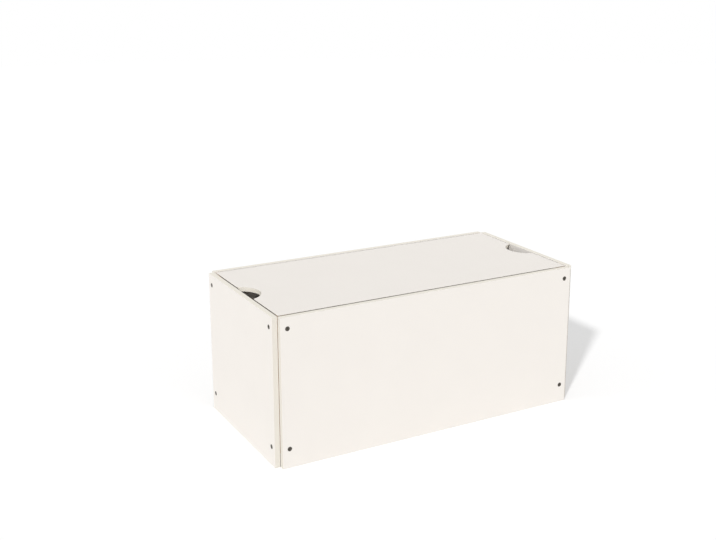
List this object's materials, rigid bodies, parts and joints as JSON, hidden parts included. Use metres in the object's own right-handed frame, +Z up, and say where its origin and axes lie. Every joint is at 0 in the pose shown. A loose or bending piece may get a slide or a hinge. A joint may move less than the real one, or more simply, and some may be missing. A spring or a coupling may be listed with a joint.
{
  "type": "toy box",
  "caption": "Low rectangular wooden toy chest with open corners, flush screw heads and a flush lift-off lid that has a rounded finger notch in each short end.",
  "frame": {"origin": "on the floor, under the middle of the box", "axes": "+X along the length of the box, -Y to the front, +Z up"},
  "size_m": [0.74, 0.365, 0.321],
  "materials": {
    "faced_plywood": "cream-white laminate on birch plywood, satin, bare ply edges with the arris just taken off",
    "beech": "planed and oiled",
    "black_steel": "black phosphate, matt",
    "zinc_steel": "zinc plated"
  },
  "bodies": {
    "carcass": {"front_panel": "faced_plywood", "back_panel": "faced_plywood", "left_end_panel": "faced_plywood", "right_end_panel": "faced_plywood", "bottom_panel": "faced_plywood", "front_left_post": "beech", "front_right_post": "beech", "back_left_post": "beech", "back_right_post": "beech", "front_screws": "black_steel", "back_screws": "black_steel", "left_end_screws": "black_steel", "right_end_screws": "black_steel", "bottom_screws": "black_steel", "front_inserts": "zinc_steel", "back_inserts": "zinc_steel", "left_end_inserts": "zinc_steel", "right_end_inserts": "zinc_steel", "bottom_inserts": "zinc_steel"},
    "lid": {"lid": "faced_plywood"}
  },
  "joints": [
    {"name": "lid_lift", "type": "slide", "parent": "carcass", "child": "lid", "axis": [0, 0, 1], "range_m": [0, 0.2]}
  ]
}
